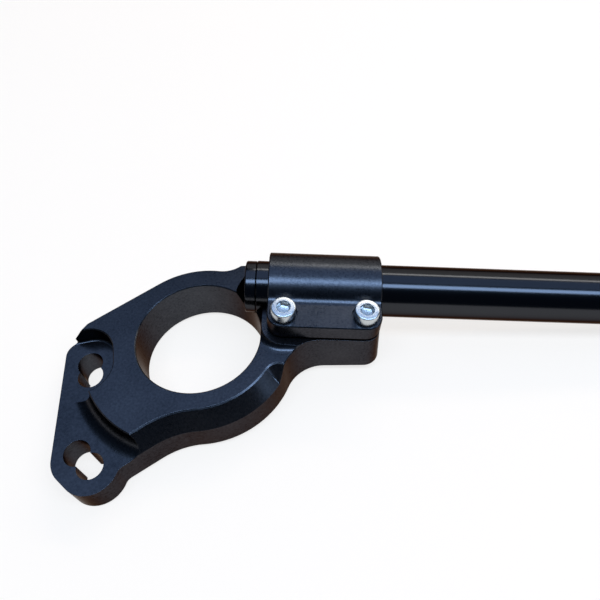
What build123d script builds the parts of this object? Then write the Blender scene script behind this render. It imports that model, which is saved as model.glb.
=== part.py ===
from build123d import *
import os
from math import atan2, cos, degrees, radians, sin, sqrt, tan

# Clip-on handlebar for one side of a motorbike, in millimetres.
# Origin: on the fork axis, at the bracket's bottom face. +Z is up along the fork, +X points out along
# the bar, and +Y points to the side of the fork where the bar runs.

# Fork ring
BORE_R = 26.0              # fork tube opening
RING_H = 21.0              # ring thickness
REAR_RING_R = 34.7         # outside of the ring on the bar side
FRONT_RING_R = 38.8        # outside of the ring on the bevelled side
EDGE_BREAK = 0.4           # chamfer on the edges

# Stepped ear and its figure-8 bolt holes, one lobe for each sweep position of the bar
SWEEP_STEP = 7.2           # degrees between the two sweep positions
BOLT_HOLE_R = 5.25         # clearance for an M10 bolt
LOW_HOLE_OFFSET = 63.5      # fork axis to the lower hole
LOW_HOLE_ANGLE = -128.75   # middle of the lower hole, in degrees about the fork axis
HIGH_HOLE_OFFSET = 47.4     # fork axis to the upper hole
HIGH_HOLE_ANGLE = -166.7   # middle of the upper hole
EAR_R = 11.3               # outside radius of the ear's two lower corners
EAR_INSET = 2.15           # how far the lower left corner sits in from the lower hole's end
REAR_EDGE_ANGLE = 126.8    # direction that the edge from the ring to the upper corner faces, in degrees
LEFT_EDGE_ANGLE = 187.5    # direction that the edge from the upper to the lower left corner faces
UPPER_CORNER_R = 6.0       # rounding of the upper corner
EAR_H = 12.5               # thickness of the stepped ear
STEP_R = 47.7              # step between ring and ear, about the fork axis
CUTTER_CORNER_R = 8.0      # corner radius that the cutter leaves under the step
POCKET_R = 12.0            # spot pocket round the upper hole
POCKET_CORNER_R = 1.0      # corner radius at the foot of the pocket's wall
FACET_ANGLE = 148.0        # direction that the facet on the upper corner faces, in degrees
FACET_OFFSET = 44.6        # fork axis to the facet's upper edge
FACET_W = 5.0              # facet's width in plan, over the whole height of the step

# Waist between ear and ring, and the bevel along it
WAIST_ANGLE = 35.0         # direction of the straight stretch, in degrees from the bar
WAIST_OFFSET = 29.0        # its distance from the fork axis
WAIST_RING_R = 32.0        # hollow between the straight stretch and the ring
WAIST_EAR_R = 4.0          # hollow between the straight stretch and the ear
BEVEL_W = 5.7              # bevel's width in plan
BEVEL_H = 7.5              # bevel's height
BEVEL_END_ANGLE = -29.0    # where the bevel stops, in degrees about the fork axis

# Handlebar
BAR_R = 11.1               # 22.2 mm (7/8 inch) bar
BAR_WALL = 3.1
BAR_LENGTH = 280.0
BAR_INSET = 12.4           # bar axis inside the ring's outside on the bar side
BAR_RISE = 26.5            # bar axis over the bottom face, at the fork axis
DROOP = 5.0                # degrees that the bar falls towards its outer end
BAR_START = 23.3           # inner end of the tube, along the bar axis
TUBE_CHAMFER = 0.6

# Plug in the tube's inner end
PLUG_RIM = 4.4             # thickness of the rim
PLUG_RIM_R = 10.9
PLUG_SPIGOT = 12.0         # length that goes into the tube
PLUG_SEAT_WALL = 2.5       # tube wall left round the turned seat
PLUG_CHAMFER = 0.7
PLUG_CLEARANCE = 0.03
SEAT_RUNOUT = 1.0          # seat depth beyond the spigot

# Pinch clamp
CLAMP_START = 28.8         # inner end face, along the bar axis
CLAMP_LENGTH = 46.4
CLAMP_WALL = 3.65          # barrel wall round the bar
BAR_CLEARANCE = 0.05       # radial room between bar and clamp
END_ROOM = 0.5             # room between the plug and the bottom of the drilled hole
DRILL_POINT = 118.0        # point angle of the drill, in degrees
JAW_OFFSET = 25.3           # bar axis to the front face
JAW_TOP = 8.2              # flat top of the jaw over the bar axis
SLIT = 1.2
JAW_CORNER_R = 6.5
JAW_BLEND_R = 4.5          # hollow between barrel and jaw
LEDGE = 2.0                # ledge left round the block at the ring's end
BLOCK_BLEND_R = 4.0        # hollow between the block and the ring's top
BLOCK_RING_R = 16.0        # hollow between the ring and the block's front, in plan
FLARE_R = 12.0             # hollow between the ring and the block's rear, in plan
FLARE_ANGLE = 81.4         # where that hollow leaves the ring, in degrees about the fork axis
BLOCK_CORNER_R = 1.5       # rounding of the block's rear corners

# M6 clamp screws
SCREW_SPACING = 33.0
SCREW_OFFSET = 19.0         # bar axis to screw axis
SCREW_R = 3.0
SCREW_LENGTH = 20.0        # under the head
HEAD_R = 5.0
HEAD_H = 6.0
HEAD_CHAMFER = 0.5
SOCKET_ACROSS = 5.0        # hexagon socket, across flats
SOCKET_DEPTH = 3.0
TIP_CHAMFER = 0.7
SPOTFACE_R = 5.7
SPOTFACE_DEPTH = 1.2
THROUGH_HOLE_R = 3.3       # in the upper jaw
THREAD_CLEARANCE = 0.05    # the threads are plain cylinders
TAP_EXTRA = 2.0            # tapped depth beyond the screw's tip

# Values that follow from the sizes above
OVERCUT = 30.0             # how far a cutter reaches past the stock
BAR_OFFSET = REAR_RING_R - BAR_INSET
CLAMP_R = BAR_R + CLAMP_WALL
CLAMP_END = CLAMP_START + CLAMP_LENGTH
HOLE_R = BAR_R + BAR_CLEARANCE
TUBE_BORE_R = BAR_R - BAR_WALL
PLUG_SEAT_R = BAR_R - PLUG_SEAT_WALL
HALF_SLIT = SLIT / 2
SCREW_SEAT = JAW_TOP - SPOTFACE_DEPTH
BLOCK_FRONT = BAR_OFFSET - JAW_OFFSET
BLOCK_REAR = BAR_OFFSET + sqrt(CLAMP_R**2 - HALF_SLIT**2)
BLOCK_START = (CLAMP_START - LEDGE) * cos(radians(DROOP))
BLOCK_END = CLAMP_END * cos(radians(DROOP)) - HALF_SLIT * sin(radians(DROOP))
BEVEL_FOOT = RING_H - BEVEL_H

# Bar frame: x out along the bar, y to the rear, z up and square to the slit
BAR = Location(Plane(
    origin=(0, BAR_OFFSET, BAR_RISE),
    x_dir=(cos(radians(DROOP)), 0, -sin(radians(DROOP))),
    z_dir=(sin(radians(DROOP)), 0, cos(radians(DROOP))),
))
TURN_TO_BAR = Rot(0, 90, 0)    # stands a turned piece's axis along the bar frame's x


def polar(reach, angle):
    """Point in plan at a distance and an angle about the fork axis."""
    return Vector(reach * cos(radians(angle)), reach * sin(radians(angle)))


FORK = Vector(0, 0)
LOW_HOLES = [polar(LOW_HOLE_OFFSET, LOW_HOLE_ANGLE + side * SWEEP_STEP / 2) for side in (-1, 1)]
HIGH_HOLES = [polar(HIGH_HOLE_OFFSET, HIGH_HOLE_ANGLE + side * SWEEP_STEP / 2) for side in (-1, 1)]

# The waist's straight stretch, its outward normal and the centre of its hollow towards the ring
WAIST_ALONG = polar(1, WAIST_ANGLE)
WAIST_OUT = polar(1, WAIST_ANGLE - 90)
HOLLOW_REACH = FRONT_RING_R + WAIST_RING_R
HOLLOW_OUT = WAIST_OFFSET + WAIST_RING_R
HOLLOW_CENTRE = WAIST_OUT * HOLLOW_OUT - WAIST_ALONG * sqrt(HOLLOW_REACH**2 - HOLLOW_OUT**2)


def plan_box(low_x, low_y, high_x, high_y):
    """Rectangle in plan between two opposite corners."""
    return Pos(low_x, low_y) * Rectangle(high_x - low_x, high_y - low_y, align=Align.MIN)


def plan_polygon(*points):
    """Polygon in plan through points."""
    return Polygon(*[(point.X, point.Y) for point in points], align=None)


def round_corner(sketch, point, radius):
    """Round the corner of a sketch that lies nearest to a point."""
    return fillet(sketch.vertices().sort_by_distance(point)[0], radius)


def bracket_outline():
    """Plan outline of the bracket: ring, ear, waist and clamp block."""
    bottom = LOW_HOLES[1]
    low_along = (bottom - LOW_HOLES[0]).normalized()
    low_out = Vector(low_along.Y, -low_along.X) * EAR_R
    left = LOW_HOLES[0] + low_along * EAR_INSET
    left_out = polar(1, LEFT_EDGE_ANGLE)
    left_foot = left + left_out * EAR_R
    rear_foot = polar(REAR_RING_R, REAR_EDGE_ANGLE)
    rear_along = polar(1, REAR_EDGE_ANGLE + 90)
    upper = rear_foot + rear_along * ((left_foot - rear_foot).dot(left_out) / rear_along.dot(left_out))
    ring_foot = WAIST_OUT * WAIST_OFFSET
    ear_foot = ring_foot + WAIST_ALONG * bottom.dot(WAIST_ALONG)
    ear = plan_polygon(
        rear_foot, upper, left_foot, left + low_out, bottom + low_out, bottom, ear_foot, ring_foot, FORK
    )
    for centre in (left, bottom):
        ear += Pos(centre) * Circle(EAR_R)

    front_half = plan_box(-FRONT_RING_R, -FRONT_RING_R, FRONT_RING_R, 0)
    ring = Circle(REAR_RING_R) + (Circle(FRONT_RING_R) & front_half)

    flare_centre = polar(REAR_RING_R + FLARE_R, FLARE_ANGLE)
    block = plan_box(polar(REAR_RING_R, FLARE_ANGLE).X, BLOCK_FRONT, BLOCK_END, BLOCK_REAR)
    block -= Pos(flare_centre) * Circle(FLARE_R)

    outline = ear + ring + block
    ear_gap = (ear_foot - bottom).length
    flare_rise = BLOCK_REAR - flare_centre.Y
    rounded = [
        (upper, UPPER_CORNER_R),
        (ear_foot + WAIST_ALONG * sqrt(EAR_R**2 - ear_gap**2), WAIST_EAR_R),
        (ring_foot - WAIST_ALONG * sqrt(FRONT_RING_R**2 - WAIST_OFFSET**2), WAIST_RING_R),
        (Vector(sqrt(FRONT_RING_R**2 - BLOCK_FRONT**2), BLOCK_FRONT), BLOCK_RING_R),
        (Vector(BLOCK_END, BLOCK_FRONT), JAW_CORNER_R),
        (Vector(BLOCK_END, BLOCK_REAR), BLOCK_CORNER_R),
        (Vector(flare_centre.X + sqrt(FLARE_R**2 - flare_rise**2), BLOCK_REAR), BLOCK_CORNER_R),
    ]
    for point, radius in rounded:
        outline = round_corner(outline, point, radius)
    return outline


def top_cutter():
    """Cutter that lowers the ring round the raised block, with the hollow that its corner leaves."""
    far = LOW_HOLE_OFFSET + OVERCUT
    block = plan_box(BLOCK_START, BLOCK_FRONT - LEDGE, far + OVERCUT, far + OVERCUT)
    block = round_corner(block, Vector(BLOCK_START, BLOCK_FRONT - LEDGE), JAW_CORNER_R + LEDGE)
    cutter = Pos(0, 0, RING_H) * extrude(plan_box(-far, -far, far, far) - block, OVERCUT)
    foot = cutter.faces().sort_by(Axis.Z)[0].edges().filter_by(
        lambda edge: max(abs(edge.center().X), abs(edge.center().Y)) < far - OVERCUT
    )
    return fillet(foot, BLOCK_BLEND_R)


def step_cutter():
    """Cutter that lowers the ear round the fork axis."""
    section = plan_box(STEP_R, EAR_H, LOW_HOLE_OFFSET + OVERCUT, RING_H + OVERCUT)
    section = round_corner(section, Vector(STEP_R, EAR_H), CUTTER_CORNER_R)
    lip = RING_H - EDGE_BREAK, RING_H + EDGE_BREAK
    section += Polygon((STEP_R, lip[0]), (STEP_R, lip[1]), (STEP_R - 2 * EDGE_BREAK, lip[1]), align=None)
    span = WAIST_ANGLE - 90 - HIGH_HOLE_ANGLE
    return Rot(0, 0, HIGH_HOLE_ANGLE) * revolve(Plane.XZ * section, Axis.Z, span)


def pocket_cutter():
    """Cutter for the pocket round the upper hole, open to the outer edge of the ear."""
    first, second = HIGH_HOLES
    outwards = polar(OVERCUT, HIGH_HOLE_ANGLE)
    region = offset(plan_polygon(first, first + outwards, second + outwards, second), POCKET_R)
    cutter = Pos(0, 0, EAR_H) * extrude(region, RING_H - EAR_H + OVERCUT)
    cutter = fillet(cutter.faces().sort_by(Axis.Z)[0].edges(), POCKET_CORNER_R)
    return cutter + Pos(0, 0, RING_H - EDGE_BREAK) * extrude(region, 2 * EDGE_BREAK, taper=-45)


def facet_cutter():
    """Cutter for the slanted facet on the ear's upper corner."""
    far = FACET_OFFSET + OVERCUT
    top = 2 * RING_H - EAR_H
    section = Polygon(
        (FACET_OFFSET + FACET_W, EAR_H), (far, EAR_H), (far, top), (FACET_OFFSET - FACET_W, top), align=None
    )
    return Rot(0, 0, FACET_ANGLE) * extrude(Plane.XZ * section, OVERCUT, both=True)


def bevel_cutter():
    """Cutter for the bevel along waist and ring, ending in the cone of its tool."""
    rise = BEVEL_H + EDGE_BREAK
    slope = BEVEL_W / BEVEL_H
    lip = slope * (BEVEL_H - EDGE_BREAK), BEVEL_H - EDGE_BREAK
    width = BEVEL_W + EDGE_BREAK * (2 + slope)
    section = Polygon(
        (0, 0), (CUTTER_CORNER_R, 0), (CUTTER_CORNER_R, rise), (-width, rise), (-lip[0], lip[1]), align=None
    )
    hollow_angle = degrees(atan2(HOLLOW_CENTRE.Y, HOLLOW_CENTRE.X))

    on_ring = Plane.XZ * Pos(FRONT_RING_R, BEVEL_FOOT) * section
    ring = Rot(0, 0, hollow_angle) * revolve(on_ring, Axis.Z, BEVEL_END_ANGLE - hollow_angle)

    on_hollow = Plane.XZ * Pos(WAIST_RING_R, BEVEL_FOOT) * mirror(section, Plane.YZ)
    hollow = revolve(on_hollow, Axis.Z, WAIST_ANGLE + 90 - (hollow_angle + 180))
    hollow = Pos(HOLLOW_CENTRE) * Rot(0, 0, hollow_angle + 180) * hollow

    start = HOLLOW_CENTRE - WAIST_OUT * WAIST_RING_R
    across = Plane(origin=(start.X, start.Y, BEVEL_FOOT), x_dir=WAIST_OUT, z_dir=-WAIST_ALONG)
    straight = extrude(across * section, (start - LOW_HOLES[1]).dot(WAIST_ALONG))

    end = polar(FRONT_RING_R, BEVEL_END_ANGLE)
    tool = Pos(end.X, end.Y, BEVEL_FOOT) * revolve(
        Plane.XZ * Polygon((0, 0), lip, (width, rise), (0, rise), align=None), Axis.Z
    )
    return ring + hollow + straight + tool


def clamp_solid():
    """Barrel round the bar with its upper jaw."""
    jaw = plan_box(-JAW_OFFSET, HALF_SLIT, 0, JAW_TOP)
    section = round_corner(
        Circle(CLAMP_R) + jaw, Vector(-sqrt(CLAMP_R**2 - JAW_TOP**2), JAW_TOP), JAW_BLEND_R
    )
    solid = Pos(CLAMP_START, 0, 0) * extrude(Plane.YZ * section, CLAMP_LENGTH)
    corners = solid.edges().filter_by(Axis.Z).sort_by(Axis.Y)[:2]
    solid = fillet(corners, JAW_CORNER_R)
    top = solid.faces().filter_by(Plane.XY).sort_by(Axis.Z)[-1]
    ends = solid.faces().filter_by(Plane.YZ)
    rim = [edge for face in [top, *ends] for edge in face.edges()]
    return BAR * chamfer(rim, EDGE_BREAK)


def over_slit():
    """Everything over the slit's lower face."""
    reach = 2 * BAR_LENGTH
    return BAR * Pos(0, 0, -HALF_SLIT) * Box(reach, reach, reach, align=(Align.CENTER, Align.CENTER, Align.MIN))


def bar_hole():
    """Drilled hole for the bar, with its pointed bottom and the slit to the front."""
    bottom = BAR_START - PLUG_RIM - END_ROOM
    point = HOLE_R / tan(radians(DRILL_POINT / 2))
    end = CLAMP_END + OVERCUT
    half = Polygon((bottom - point, 0), (bottom, HOLE_R), (end, HOLE_R), (end, 0), align=None)
    hole = revolve(half, Axis.X)
    slit = Pos(CLAMP_START, 0, 0) * Box(
        CLAMP_LENGTH + OVERCUT, JAW_OFFSET + OVERCUT, SLIT, align=(Align.MIN, Align.MAX, Align.CENTER)
    )
    return BAR * (hole + slit)


def screw_places():
    """Places of the clamp screws at the seats under their heads, inner screw first."""
    middle = CLAMP_START + CLAMP_LENGTH / 2
    return [BAR * Pos(middle + side * SCREW_SPACING / 2, -SCREW_OFFSET, SCREW_SEAT) for side in (-1, 1)]


def screw_cutter():
    """Spotface, through hole and tapped hole of one clamp screw."""
    stand = (Align.CENTER, Align.CENTER, Align.MIN)
    hang = (Align.CENTER, Align.CENTER, Align.MAX)
    spotface = Cylinder(SPOTFACE_R, OVERCUT, align=stand)
    through = Cylinder(THROUGH_HOLE_R, SCREW_SEAT, align=hang)
    tapped = Cylinder(SCREW_R + THREAD_CLEARANCE, SCREW_LENGTH + TAP_EXTRA, align=hang)
    return spotface + through + tapped


def break_ring_edges(solid):
    """Chamfer the outer edges of the ring's flat top: those with air on one side, just under the edge."""
    body = solid.solid()
    top = body.faces().filter_by(Plane.XY).sort_by(lambda face: abs(face.center().Z - RING_H))[0]
    rim = []
    for edge in top.edges():
        side = edge.tangent_at(0.5).cross(Vector(0, 0, EDGE_BREAK))
        below = edge.position_at(0.5) - Vector(0, 0, EDGE_BREAK / 2)
        if not (body.is_inside(below + side) and body.is_inside(below - side)):
            rim.append(edge)
    return chamfer(rim, EDGE_BREAK)


def clamp_bracket():
    """The milled bracket."""
    solid = extrude(bracket_outline(), BAR_RISE)
    solid = chamfer(solid.faces().sort_by(Axis.Z)[0].edges(), EDGE_BREAK)
    solid = break_ring_edges(solid - top_cutter()) - over_slit()
    solid += clamp_solid()
    solid -= step_cutter()
    solid -= pocket_cutter()
    solid -= facet_cutter()
    solid -= bevel_cutter()
    solid -= Cylinder(BORE_R, 4 * RING_H)
    solid -= bar_hole()
    for place in screw_places():
        solid -= place * screw_cutter()
    arcs = solid.edges().filter_by(GeomType.CIRCLE).group_by(lambda edge: abs(edge.center().Z - RING_H))[0]
    solid = chamfer(arcs.sort_by(Edge.length)[-1], EDGE_BREAK)
    for centre in LOW_HOLES + HIGH_HOLES:
        solid -= Pos(centre) * Cylinder(BOLT_HOLE_R, 4 * RING_H)
    return solid


def handlebar_tube():
    """Straight tube with a turned seat for the plug."""
    tube = Cylinder(BAR_R, BAR_LENGTH, align=(Align.CENTER, Align.CENTER, Align.MIN))
    tube = chamfer(tube.edges(), TUBE_CHAMFER)
    tube -= Cylinder(TUBE_BORE_R, BAR_LENGTH, align=(Align.CENTER, Align.CENTER, Align.MIN))
    tube -= Cylinder(PLUG_SEAT_R, PLUG_SPIGOT + SEAT_RUNOUT, align=(Align.CENTER, Align.CENTER, Align.MIN))
    return BAR * Pos(BAR_START, 0, 0) * TURN_TO_BAR * tube


def bar_end_plug():
    """Turned plug whose rim stops against the tube."""
    rim = Cylinder(PLUG_RIM_R, PLUG_RIM, align=(Align.CENTER, Align.CENTER, Align.MAX))
    rim = chamfer(rim.edges().filter_by(GeomType.CIRCLE), PLUG_CHAMFER)
    spigot = Cylinder(PLUG_SEAT_R - PLUG_CLEARANCE, PLUG_SPIGOT, align=(Align.CENTER, Align.CENTER, Align.MIN))
    spigot = chamfer(spigot.edges().sort_by(Axis.Z)[-1], PLUG_CHAMFER)
    return BAR * Pos(BAR_START, 0, 0) * TURN_TO_BAR * (rim + spigot)


def clamp_screw():
    """Socket head cap screw, with the seat under its head at the origin."""
    head = Cylinder(HEAD_R, HEAD_H, align=(Align.CENTER, Align.CENTER, Align.MIN))
    head = chamfer(head.edges().sort_by(Axis.Z)[-1], HEAD_CHAMFER)
    shank = Cylinder(SCREW_R, SCREW_LENGTH, align=(Align.CENTER, Align.CENTER, Align.MAX))
    shank = chamfer(shank.edges().sort_by(Axis.Z)[0], TIP_CHAMFER)
    socket = extrude(RegularPolygon(SOCKET_ACROSS / 2, 6, major_radius=False), SOCKET_DEPTH)
    return head + shank - Pos(0, 0, HEAD_H - SOCKET_DEPTH) * socket


parts = {
    "clamp_bracket": clamp_bracket(),
    "handlebar_tube": handlebar_tube(),
    "bar_end_plug": bar_end_plug(),
}
for name, place in zip(("clamp_screw_inner", "clamp_screw_outer"), screw_places()):
    parts[name] = place * clamp_screw()

os.makedirs("parts", exist_ok=True)
for name, part in parts.items():
    part.label = name
    export_step(part, f"parts/{name}.step")
    print(name, round(part.volume, 1), len(part.solids()), part.is_valid)
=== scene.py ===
# %% [markdown]
# Clip-on handlebar
# A clip-on is a short handlebar that clamps to a motorbike's fork. A bracket milled from aluminium plate
# goes round the fork's top, and a straight tube for the grip and levers is pinched in it by two screws.
# The bracket and the tube come from CAD and keep their shape. The screws and the plug are small and plain
# there, so this script models them again, at the same size, with the rounds and lead-ins that catch the
# light. Then it gives every piece its finish and sets a floor, lamps and a camera.

# %% Load the CAD part
import math

import bpy
from mathutils import Matrix, Vector


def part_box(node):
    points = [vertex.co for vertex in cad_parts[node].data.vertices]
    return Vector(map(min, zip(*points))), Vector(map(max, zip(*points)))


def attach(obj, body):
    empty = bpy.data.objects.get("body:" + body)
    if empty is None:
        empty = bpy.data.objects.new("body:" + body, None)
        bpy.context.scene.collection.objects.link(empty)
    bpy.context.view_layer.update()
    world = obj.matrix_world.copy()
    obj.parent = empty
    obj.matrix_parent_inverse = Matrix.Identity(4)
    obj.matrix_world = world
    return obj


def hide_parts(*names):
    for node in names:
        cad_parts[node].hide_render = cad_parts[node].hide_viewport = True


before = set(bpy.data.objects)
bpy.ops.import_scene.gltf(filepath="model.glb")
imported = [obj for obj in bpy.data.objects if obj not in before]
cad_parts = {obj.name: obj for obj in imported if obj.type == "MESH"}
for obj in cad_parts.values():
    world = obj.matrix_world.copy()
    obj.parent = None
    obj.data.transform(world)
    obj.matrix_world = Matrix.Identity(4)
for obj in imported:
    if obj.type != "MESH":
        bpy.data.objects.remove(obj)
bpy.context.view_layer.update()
MM = 0.001
print("nodes:", ", ".join(sorted(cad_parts)))

# %% [markdown]
# Writing shader graphs as arithmetic
# A procedural finish is a small formula on the surface position. It could be wired by hand in the shader
# editor, or node by node in code, which takes pages. This class wraps one output socket instead, so that
# plus and times add the Math nodes, and one method adds any other node. A trial graph shows what a short
# expression turns into.


# %% A socket that arithmetic can be written with
class Wire:
    """One output socket of a shader tree."""

    def __init__(self, tree, socket=None):
        self.tree = tree
        self.socket = socket

    def node(self, kind, settings=None, sockets=None, output=0):
        """Adds a node: its settings first, then a value or a link for each named or numbered input."""
        made = self.tree.nodes.new(kind)
        for name, value in (settings or {}).items():
            setattr(made, name, value)
        for name, value in (sockets or {}).items():
            if isinstance(value, Wire):
                self.tree.links.new(value.socket, made.inputs[name])
            else:
                made.inputs[name].default_value = value
        return Wire(self.tree, made.outputs[output] if made.outputs else None)

    def __add__(self, other):
        return self.node("ShaderNodeMath", {"operation": "ADD"}, {0: self, 1: other})

    def __mul__(self, other):
        return self.node("ShaderNodeMath", {"operation": "MULTIPLY"}, {0: self, 1: other})

    __radd__ = __add__
    __rmul__ = __mul__

    def blend(self, first, second):
        """A colour between two, by this value."""
        colours = {"Factor": self, 6: first, 7: second}
        return self.node("ShaderNodeMix", {"data_type": "RGBA"}, colours, output=2)

    def stretch(self, scale):
        """This vector with each axis multiplied by its own number."""
        return self.node("ShaderNodeVectorMath", {"operation": "MULTIPLY"}, {0: self, 1: scale})

    def noise(self, waves, detail):
        """Cloudy values about one half, with that many waves per metre."""
        return self.node("ShaderNodeTexNoise", None, {"Vector": self, "Scale": waves, "Detail": detail})

    def bump(self, depth, strength, normal=None):
        """A surface normal from this height: a relief of that depth in metres, on top of another normal."""
        sockets = {"Height": self, "Distance": depth, "Strength": strength}
        if normal:
            sockets["Normal"] = normal
        return self.node("ShaderNodeBump", None, sockets)


trial = bpy.data.node_groups.new("trial", "ShaderNodeTree")
value = Wire(trial).node("ShaderNodeValue")
print("2 * value + 1 ends in a Math node that does", (2 * value + 1).socket.node.operation)
bpy.data.node_groups.remove(trial)

# %% [markdown]
# Satin black anodising
# The bracket is milled, tumbled until its skin is evenly dull, and anodised: the metal's own skin is turned
# into a thin oxide layer and dyed black. A black paint with a clear coat would be the first idea, but paint
# mirrors a white floor strongly at a flat angle, and the upright walls would turn grey. A metal with a very
# dark colour mirrors all round evenly, and its Specular Tint takes the flat angles down further. A wide
# noise makes the dye a little uneven, one of about a millimetre speckles it, and a finer one is the tumbled
# grain. A Bevel node rounds the normals at the edges, which tumbling breaks, so that each edge draws a thin
# line of light.

# %% Bracket finish
DYE_DARK = (0.003, 0.006, 0.010, 1)
DYE_LIGHT = (0.083, 0.087, 0.098, 1)
SATIN_TINT = (0.44, 0.37, 0.33, 1)
CLOUD_WAVES = 55
SPECKLE_WAVES = 1000
GRAIN_WAVES = 2600
GRAIN_DEPTH = 0.01 * MM
EDGE_ROUND = 0.15 * MM


def new_material(name):
    """An empty material, and the start of its graph: the object's own coordinates in metres."""
    material = bpy.data.materials.new(name)
    material.use_nodes = True
    material.node_tree.nodes.clear()
    return material, Wire(material.node_tree).node("ShaderNodeTexCoord", output="Object")


def finish_material(material, place, shader_sockets):
    """Closes a graph with a Principled shader that takes the given inputs."""
    shader = place.node("ShaderNodeBsdfPrincipled", None, shader_sockets)
    place.node("ShaderNodeOutputMaterial", None, {"Surface": shader})
    print(material.name, "has", len(material.node_tree.nodes), "nodes")


bracket_black, place = new_material("satin_black_anodised")
grain = place.noise(GRAIN_WAVES, 3)
cloud = 0.4 * place.noise(CLOUD_WAVES, 3) + 0.6 * place.noise(SPECKLE_WAVES, 3)
rounded = place.node("ShaderNodeBevel", {"samples": 8}, {"Radius": EDGE_ROUND})
finish_material(
    bracket_black,
    place,
    {
        "Base Color": cloud.blend(DYE_DARK, DYE_LIGHT),
        "Metallic": 1.0,
        "Specular Tint": SATIN_TINT,
        "Roughness": 0.24 + 0.05 * cloud + 0.03 * grain,
        "Normal": grain.bump(GRAIN_DEPTH, 0.5, rounded),
    },
)

# %% [markdown]
# Glossy black tube
# The tube is drawn and polished before it is anodised, so it mirrors the lamps as lines along its length.
# Drawing leaves faint scratches that run with the bar. They could be modelled one by one, but a noise that
# is slow along the bar and fine across it gives them all at once. The colour is a dark metal again, like
# the bracket's, with far less dullness.

# %% Tube finish
TUBE_DARK = (0.030, 0.032, 0.036, 1)
TUBE_LIGHT = (0.040, 0.042, 0.047, 1)
GLOSS_TINT = (0.42, 0.36, 0.33, 1)
SMEAR_WAVES = (18.0, 60.0, 60.0)
SCRATCH_WAVES = (6.0, 900.0, 900.0)
SCRATCH_DEPTH = 0.004 * MM

tube_black, place = new_material("gloss_black_anodised")
scratches = place.stretch(SCRATCH_WAVES).noise(1.0, 3)
smear = place.stretch(SMEAR_WAVES).noise(1.0, 2)
finish_material(
    tube_black,
    place,
    {
        "Base Color": smear.blend(TUBE_DARK, TUBE_LIGHT),
        "Metallic": 1.0,
        "Specular Tint": GLOSS_TINT,
        "Roughness": 0.12 + 0.05 * smear + 0.03 * scratches,
        "Normal": scratches.bump(SCRATCH_DEPTH, 0.4),
    },
)

# %% [markdown]
# Turned plug
# The plug is turned on a lathe, and a lathe leaves rings. A Wave texture would space them evenly, and real
# ones are uneven, so this is a noise again, fine along the bar and slow across it, on the tube's black.

# %% Plug finish
RING_LIGHT = (0.044, 0.046, 0.052, 1)
RING_WAVES = (2500.0, 40.0, 40.0)
RING_DEPTH = 0.005 * MM

plug_black, place = new_material("turned_black_anodised")
rings = place.stretch(RING_WAVES).noise(1.0, 2)
finish_material(
    plug_black,
    place,
    {
        "Base Color": rings.blend(TUBE_DARK, RING_LIGHT),
        "Metallic": 1.0,
        "Specular Tint": GLOSS_TINT,
        "Roughness": 0.14 + 0.08 * rings,
        "Normal": rings.bump(RING_DEPTH, 0.5),
    },
)

# %% [markdown]
# Zinc on steel
# The screws are steel with a bright zinc coat of a cold, slightly blue tone. It is a metal, so its colour is
# in its reflection. One even grey would look like paint, and the coat is never quite even: a mottle shifts
# both the colour and the dullness.

# %% Screw finish
ZINC_DARK = (0.45, 0.475, 0.485, 1)
ZINC_LIGHT = (0.60, 0.63, 0.64, 1)
MOTTLE_WAVES = 900
MOTTLE_DEPTH = 0.02 * MM

zinc, place = new_material("bright_zinc")
mottle = place.noise(MOTTLE_WAVES, 4)
finish_material(
    zinc,
    place,
    {
        "Base Color": mottle.blend(ZINC_DARK, ZINC_LIGHT),
        "Metallic": 1.0,
        "Roughness": 0.20 + 0.16 * mottle,
        "Normal": mottle.bump(MOTTLE_DEPTH, 0.35),
    },
)

# %% [markdown]
# Finishes on the CAD nodes
# The bracket and the tube have their real shape already, so they need a finish and no new mesh. A copy of
# the mesh could carry it, but then two meshes would have to be kept alike. A CAD node has material slots of
# its own, and the finish goes in there.

# %% Bracket and tube get their finish
for node, material in {"clamp_bracket": bracket_black, "handlebar_tube": tube_black}.items():
    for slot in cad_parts[node].material_slots:
        slot.material = material
    print(node, "has", material.name)

# %% [markdown]
# Selecting in code
# The screws and the plug are shaped as by hand: select, then extrude, inset or bevel. By hand a face is
# picked with a click. A script could pick it by its number, but numbers change with every edit. Where a
# face looks stays the same, so faces are picked by a test on their normal. An operator acts on everything
# that is selected, and the loaded CAD nodes are, so each piece starts by deselecting all.

# %% Helpers for selecting
NEARLY_FLAT = 0.9


def start_alone():
    """Deselects every object."""
    bpy.ops.object.select_all(action="DESELECT")


def pick_faces(obj, test):
    """Goes into edit mode with just those faces selected that pass a test."""
    bpy.ops.object.mode_set(mode="EDIT")
    bpy.ops.mesh.select_mode(type="FACE")
    bpy.ops.mesh.select_all(action="DESELECT")
    bpy.ops.object.mode_set(mode="OBJECT")
    for face in obj.data.polygons:
        face.select = test(face)
    bpy.ops.object.mode_set(mode="EDIT")


def faces_up(face):
    """True for a face that looks up along Z."""
    return face.normal.z > NEARLY_FLAT


def faces_down(face):
    """True for a face that looks down along Z."""
    return face.normal.z < -NEARLY_FLAT


print("objects selected after loading:", len(bpy.context.selected_objects))
start_alone()

# %% [markdown]
# The blank of a cap screw
# A socket head cap screw is forged from wire: the head is upset, and its top edge is left round. A plain
# cylinder shows none of that, and a screw drawn face by face takes long. So a cylinder is the start, as wide
# as the head. Its underside is inset and pulled down into the shank, and its top edge is bevelled in steps.

# %% Head and shank of one screw, its seat at the origin
HEAD_R = 5.0 * MM
HEAD_H = 6.0 * MM
HEAD_ROUND = 0.7 * MM
SHANK_R = 3.0 * MM
SHANK_LENGTH = 20.0 * MM
TIP_BEVEL = 0.7 * MM
ROUND_STEPS = 5
SCREW_SIDES = 96

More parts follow.
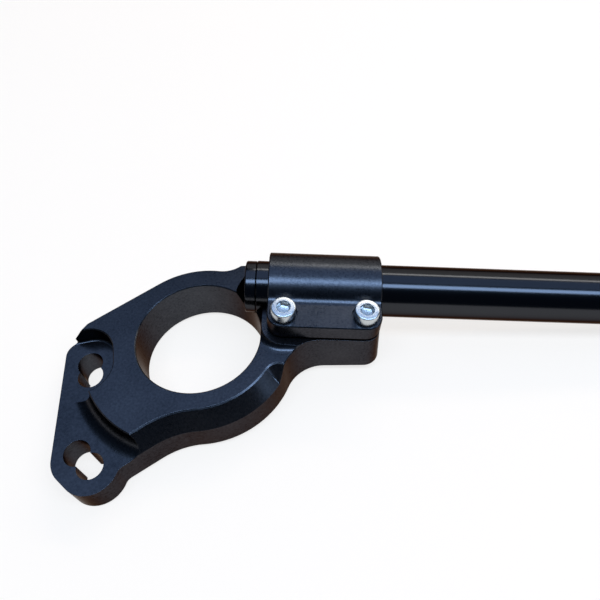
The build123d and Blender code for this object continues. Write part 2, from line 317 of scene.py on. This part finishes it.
start_alone()
bpy.ops.mesh.primitive_cylinder_add(
    vertices=SCREW_SIDES, radius=HEAD_R, depth=HEAD_H, location=(0, 0, HEAD_H / 2)
)
bpy.ops.object.transform_apply(location=True, rotation=True, scale=True)
screw = bpy.context.object
screw.name = "screw_pattern"
pick_faces(screw, faces_down)
bpy.ops.mesh.inset(thickness=HEAD_R - SHANK_R)
bpy.ops.mesh.extrude_region_move(TRANSFORM_OT_translate={"value": (0, 0, -SHANK_LENGTH)})
bpy.ops.mesh.bevel(offset=TIP_BEVEL, segments=1)
pick_faces(screw, faces_up)
bpy.ops.mesh.bevel(offset=HEAD_ROUND, segments=ROUND_STEPS)
bpy.ops.object.mode_set(mode="OBJECT")
print("screw blank has", len(screw.data.polygons), "faces")

# %% [markdown]
# The socket
# The hexagon for the key is punched into a hole drilled first, so it has a lead-in at its mouth and a drill
# point at its bottom. It could be inset and pushed in on the head's top face, but a hexagon would then have
# to be drawn in a round face. Two cutters do it as in the workshop: a short cone for the lead-in, and a
# punch with six sides and a pointed end. A Boolean modifier takes each of them out.

# %% Lead-in and hexagon socket
SOCKET_ACROSS = 5.0 * MM
SOCKET_DEPTH = 3.0 * MM
SOCKET_TURN = math.radians(20)
DRILL_POINT = 0.9 * MM
LEAD_IN = 0.5 * MM
SMOOTH_ANGLE = math.radians(35)


def cut(obj, cutter):
    """Takes a cutter's shape out of an object and deletes the cutter."""
    modifier = obj.modifiers.new("cut", "BOOLEAN")
    modifier.operation = "DIFFERENCE"
    modifier.object = cutter
    bpy.context.view_layer.objects.active = obj
    bpy.ops.object.modifier_apply(modifier=modifier.name)
    start_alone()
    cutter.select_set(True)
    bpy.ops.object.delete()
    obj.select_set(True)
    print(obj.name, "has", len(obj.data.polygons), "faces after the cut")


socket_corner = SOCKET_ACROSS / math.sqrt(3)
bpy.ops.mesh.primitive_cone_add(
    vertices=SCREW_SIDES,
    radius1=socket_corner - LEAD_IN,
    radius2=socket_corner + LEAD_IN,
    depth=2 * LEAD_IN,
    location=(0, 0, HEAD_H),
)
cut(screw, bpy.context.object)
bpy.ops.mesh.primitive_cylinder_add(
    vertices=6,
    radius=socket_corner,
    depth=2 * SOCKET_DEPTH,
    location=(0, 0, HEAD_H),
    rotation=(0, 0, SOCKET_TURN),
)
punch = bpy.context.object
pick_faces(punch, faces_down)
bpy.ops.mesh.extrude_region_move(TRANSFORM_OT_translate={"value": (0, 0, -DRILL_POINT)})
bpy.ops.mesh.merge(type="CENTER")
bpy.ops.object.mode_set(mode="OBJECT")
cut(screw, punch)
bpy.context.view_layer.objects.active = screw
bpy.ops.object.shade_smooth_by_angle(angle=SMOOTH_ANGLE)
screw.data.materials.append(zinc)

# %% [markdown]
# Placing the screws
# The clamp droops with the bar by 5 degrees, and so do its screws. A screw could be modelled in place, but a
# pattern at the origin is easier to shape. Each screw is a copy of it with its own mesh, turned and moved to
# its seat, and the move is applied to the mesh, so that the object itself stays at the origin.

# %% Screws at their seats
DROOP = math.radians(5)
BAR_RISE = 26.5 * MM
SCREW_PLACE = 3.3 * MM
SEAT_RISE = 7.0 * MM
SCREW_REACH = {"clamp_screw_inner": 35.5 * MM, "clamp_screw_outer": 68.5 * MM}

along_bar = Vector((math.cos(DROOP), 0, -math.sin(DROOP)))
up_clamp = Vector((math.sin(DROOP), 0, math.cos(DROOP)))


def print_boxes(piece, node):
    """Prints a CAD node's box and the box of the piece that stands for it, in millimetres."""
    cad_box = [[round(v / MM, 2) for v in corner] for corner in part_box(node)]
    own_box = [[round(v / MM, 2) for v in piece.bound_box[corner]] for corner in (0, 6)]
    print(node, "CAD", cad_box, "made", own_box)


for node, reach in SCREW_REACH.items():
    start_alone()
    screw.select_set(True)
    bpy.context.view_layer.objects.active = screw
    bpy.ops.object.duplicate()
    piece = bpy.context.object
    piece.name = node + "_fine"
    piece.rotation_euler = (0, DROOP, 0)
    piece.location = Vector((0, SCREW_PLACE, BAR_RISE)) + up_clamp * SEAT_RISE + along_bar * reach
    bpy.ops.object.transform_apply(location=True, rotation=True, scale=True)
    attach(piece, "root")
    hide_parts(node)
    print_boxes(piece, node)
start_alone()
screw.select_set(True)
bpy.ops.object.delete()

# %% [markdown]
# The plug
# The plug was turned, and a turner breaks the free edge with a round and leaves the edge that meets the tube
# crisp, so that the joint is a thin line. A lathe profile spun about the bar would do, but the two diameters
# come sooner from a cylinder: one end is inset and pulled out into the spigot that sits in the tube, and the
# other end's edge is bevelled in steps.

# %% Plug in the tube's inner end
RIM_R = 10.9 * MM
RIM_WIDTH = 4.4 * MM
RIM_ROUND = 0.8 * MM
SPIGOT_R = 8.57 * MM
SPIGOT_LENGTH = 12.0 * MM
SPIGOT_BEVEL = 0.7 * MM
PLUG_SIDES = 128
BAR_PLACE = 22.3 * MM
BAR_START = 23.3 * MM

start_alone()
bpy.ops.mesh.primitive_cylinder_add(
    vertices=PLUG_SIDES, radius=RIM_R, depth=RIM_WIDTH, location=(0, 0, -RIM_WIDTH / 2)
)
bpy.ops.object.transform_apply(location=True, rotation=True, scale=True)
plug = bpy.context.object
plug.name = "bar_end_plug_fine"
pick_faces(plug, faces_up)
bpy.ops.mesh.inset(thickness=RIM_R - SPIGOT_R)
bpy.ops.mesh.extrude_region_move(TRANSFORM_OT_translate={"value": (0, 0, SPIGOT_LENGTH)})
bpy.ops.mesh.bevel(offset=SPIGOT_BEVEL, segments=1)
pick_faces(plug, faces_down)
bpy.ops.mesh.bevel(offset=RIM_ROUND, segments=ROUND_STEPS)
bpy.ops.object.mode_set(mode="OBJECT")
bpy.ops.object.shade_smooth_by_angle(angle=SMOOTH_ANGLE)
plug.rotation_euler = (0, math.radians(90) + DROOP, 0)
plug.location = Vector((0, BAR_PLACE, BAR_RISE)) + along_bar * BAR_START
bpy.ops.object.transform_apply(location=True, rotation=True, scale=True)
plug.data.materials.append(plug_black)
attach(plug, "root")
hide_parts("bar_end_plug")
print_boxes(plug, "bar_end_plug")

# %% [markdown]
# The floor
# Laid on a table, the handlebar touches it with the ear's bottom edge and with the far end of the drooping
# bar, so the table runs down a little towards the bar's end in the part's own frame. More lamps would make
# it white, but they would light the part as well. So the floor is a diffuse surface, warm enough to balance
# the bluish lamps, and seen by the camera, in a reflection or through a clear piece it also glows by a fixed
# amount. Open floor is then white, and the shadow under the part stays.

# %% Floor
FLOOR_DROP = 11.0 * MM
FLOOR_RUN = 360.0 * MM
FLOOR_SIZE = 6.0
FLOOR_TOUCH = (-58 * MM, 0, -0.2 * MM)
FLOOR_COLOUR = (0.28, 0.21, 0.155, 1)
FLOOR_GLOW = 0.77
GLOW_RAYS = ("Is Camera Ray", "Is Glossy Ray", "Is Transmission Ray")

floor_turn = math.atan2(FLOOR_DROP, FLOOR_RUN)
floor_white, place = new_material("floor_white")
rays = sum(place.node("ShaderNodeLightPath", output=ray) for ray in GLOW_RAYS)
seen = place.node("ShaderNodeClamp", None, {"Value": rays})
matt = place.node("ShaderNodeBsdfDiffuse", None, {"Color": FLOOR_COLOUR})
glow = place.node("ShaderNodeEmission", None, {"Color": (1, 1, 1, 1), "Strength": FLOOR_GLOW * seen})
both = place.node("ShaderNodeAddShader", None, {0: matt, 1: glow})
place.node("ShaderNodeOutputMaterial", None, {"Surface": both})
start_alone()
bpy.ops.mesh.primitive_plane_add(size=FLOOR_SIZE, location=FLOOR_TOUCH, rotation=(0, floor_turn, 0))
floor = bpy.context.object
floor.name = "floor"
floor.data.materials.append(floor_white)
print("floor tilted by %.2f degrees" % math.degrees(floor_turn))

# %% [markdown]
# Studio light
# Black parts are seen by what they mirror, so each lamp is placed for its reflection. All are long panels
# parallel to the bar. The front one, bluish and nearly overhead, draws the line along the middle of the bar
# and the clamp. The top one is wide and soft, and fills the flat faces that look up. A narrow warm one
# behind draws the thin line near the bar's top, and a wide one low behind lifts the top of the round parts.
# A dim one, low and far to the right, is mirrored only by the right end of the bracket's bevel and sets it
# off from the hollow beside it. Round lamps would leave spots on the bar instead of lines. The camera does
# not see the panels themselves, and a dim blue world fills in the rest.

# %% Lamps and world
AIM = Vector((90 * MM, 0, 10 * MM))
BLUE = (0.48, 0.68, 1.0)
DEEP_BLUE = (0.44, 0.62, 1.0)
WARM = (1.0, 0.95, 0.86)
PALE_WARM = (1.0, 0.96, 0.90)
WORLD_BLUE = (0.40, 0.60, 1.0, 1)
WORLD_STRENGTH = 0.08


def panel(name, angle, distance, along, width, height, power, colour):
    """A long area lamp at an angle about the bar from the front horizon, some way along it, facing it."""
    data = bpy.data.lights.new(name, "AREA")
    data.shape = "RECTANGLE"
    data.size = width
    data.size_y = height
    data.energy = power
    data.color = colour
    lamp = bpy.data.objects.new(name, data)
    bpy.context.collection.objects.link(lamp)
    away = Vector((0, -math.cos(math.radians(angle)), math.sin(math.radians(angle))))
    lamp.location = AIM + away * distance + Vector((along, 0, 0))
    lamp.rotation_euler = away.to_track_quat("Z", "Y").to_euler()
    lamp.visible_camera = False
    print("%s: %.1f W at %d degrees" % (name, power, angle))


panel("front_panel", angle=77, distance=1.2, along=0.4, width=2.0, height=0.30, power=22.5, colour=BLUE)
panel("top_panel", angle=110, distance=1.5, along=0.0, width=2.4, height=1.0, power=9.0, colour=DEEP_BLUE)
panel("rear_panel", angle=136, distance=1.2, along=0.8, width=1.8, height=0.16, power=6.0, colour=WARM)
panel("back_panel", angle=158, distance=1.3, along=0.6, width=2.0, height=0.7, power=3.8, colour=PALE_WARM)
panel("side_panel", angle=25, distance=0.38, along=1.08, width=0.8, height=0.30, power=1.4, colour=BLUE)
world = bpy.data.worlds.new("studio")
bpy.context.scene.world = world
world.use_nodes = True
background = world.node_tree.nodes["Background"]
background.inputs["Color"].default_value = WORLD_BLUE
background.inputs["Strength"].default_value = WORLD_STRENGTH
print("world strength", WORLD_STRENGTH)

# %% [markdown]
# The camera
# A photograph fixes the camera: known lengths on the part, such as the bar's 22.2 mm, and the way that round
# openings turn into ellipses give its place, its turn and its lens. Aiming a camera by hand comes near, but
# a fit comes within a pixel or two, so its place and the two directions across the picture are given here.

# %% Camera
LENS = 34.5
SENSOR = 36.0
CAMERA_PLACE = Vector((56.701, -125.372, 219.813)) * MM
PICTURE_RIGHT = Vector((0.99802, 0.022076, -0.058901))
PICTURE_UP = Vector((0.016381, 0.812864, 0.582223))

camera_data = bpy.data.cameras.new("photo_camera")
camera_data.lens = LENS
camera_data.sensor_width = SENSOR
camera_data.clip_start = 10 * MM
camera = bpy.data.objects.new("photo_camera", camera_data)
bpy.context.collection.objects.link(camera)
turn = Matrix((PICTURE_RIGHT, PICTURE_UP, PICTURE_RIGHT.cross(PICTURE_UP))).transposed().to_4x4()
camera.matrix_world = Matrix.Translation(CAMERA_PLACE) @ turn
bpy.context.scene.camera = camera
bpy.context.scene.view_settings.view_transform = "Standard"
print("camera at", [round(v, 4) for v in camera.location])
